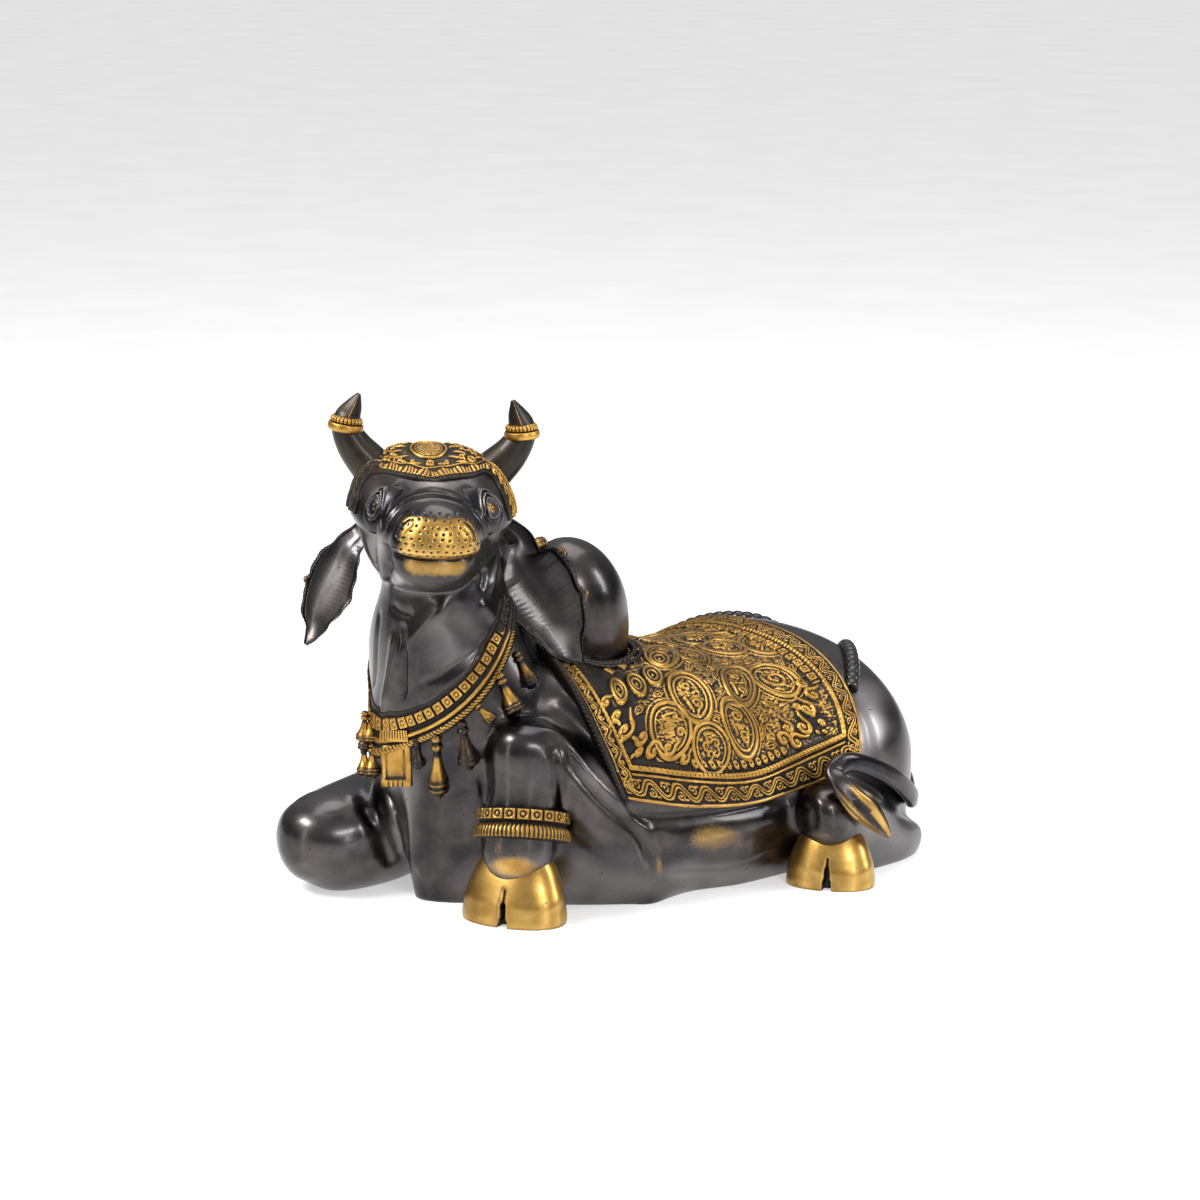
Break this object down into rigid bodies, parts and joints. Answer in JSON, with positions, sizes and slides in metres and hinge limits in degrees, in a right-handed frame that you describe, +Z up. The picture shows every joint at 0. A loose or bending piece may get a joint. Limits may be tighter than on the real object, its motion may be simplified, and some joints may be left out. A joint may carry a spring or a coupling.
{
  "type": "nandi bull figure",
  "caption": "Reclining sacred bull cast in dark bronze, head turned to its left, with saddle blanket, necklace of bells, horn bands, hump and tail looped over the thigh.",
  "frame": {"origin": "on the floor, under the middle of the figure's bounding box", "axes": "+Z up, the bull's body faces -Y, its left side is +X"},
  "size_m": [0.2452, 0.329, 0.2488],
  "materials": {
    "patina": "dark polished bronze patina",
    "rubbed_brass": "golden brass rubbed bright on the raised relief, dark in its recesses"
  },
  "bodies": {
    "root": {"nandi_bull": "patina"}
  },
  "joints": []
}
